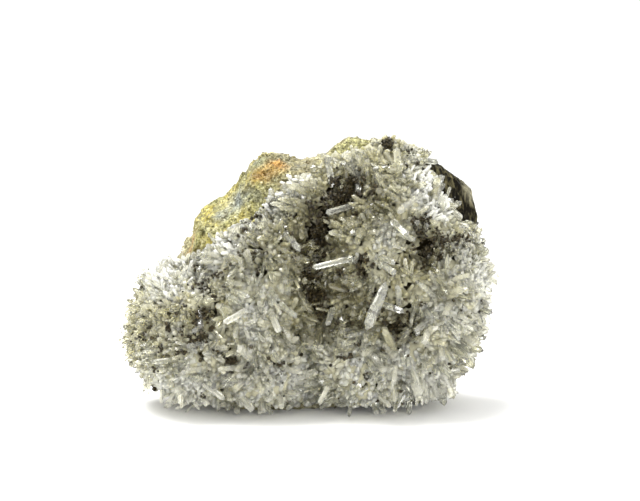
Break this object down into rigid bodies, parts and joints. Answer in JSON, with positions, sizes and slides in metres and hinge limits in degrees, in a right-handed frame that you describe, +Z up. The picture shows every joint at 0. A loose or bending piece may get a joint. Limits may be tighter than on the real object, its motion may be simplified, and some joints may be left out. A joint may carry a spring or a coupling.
{
  "type": "mineral specimen",
  "caption": "Broken lump of tarnished pyrite whose front is grown over by a druse of clear needle quartz, standing on its flat broken foot",
  "frame": {"origin": "middle of the specimen's box, on the plane of its flat foot", "axes": "+X to the viewer's right along the longest side, -Y towards the side with the quartz, +Z up"},
  "size_m": [0.0974, 0.0562, 0.0697],
  "materials": {
    "tarnished_pyrite": "granular metallic, tarnished gold, orange and blue-grey",
    "dark_ore": "streaked, semi-metallic",
    "quartz": "glassy, clear to milky",
    "dark_pyrite": "dark metallic grains"
  },
  "bodies": {
    "root": {"pyrite_matrix": "tarnished_pyrite", "dark_ore_knob": "dark_ore", "quartz_druse": "quartz", "pyrite_cluster_crest": "dark_pyrite", "pyrite_cluster_left": "dark_pyrite", "pyrite_cluster_left_low": "dark_pyrite", "pyrite_cluster_lower_right": "dark_pyrite", "pyrite_cluster_right": "dark_pyrite", "pyrite_cluster_top_pit": "dark_pyrite", "pyrite_cluster_valley_high": "dark_pyrite", "pyrite_cluster_valley_low": "dark_pyrite"}
  },
  "joints": []
}
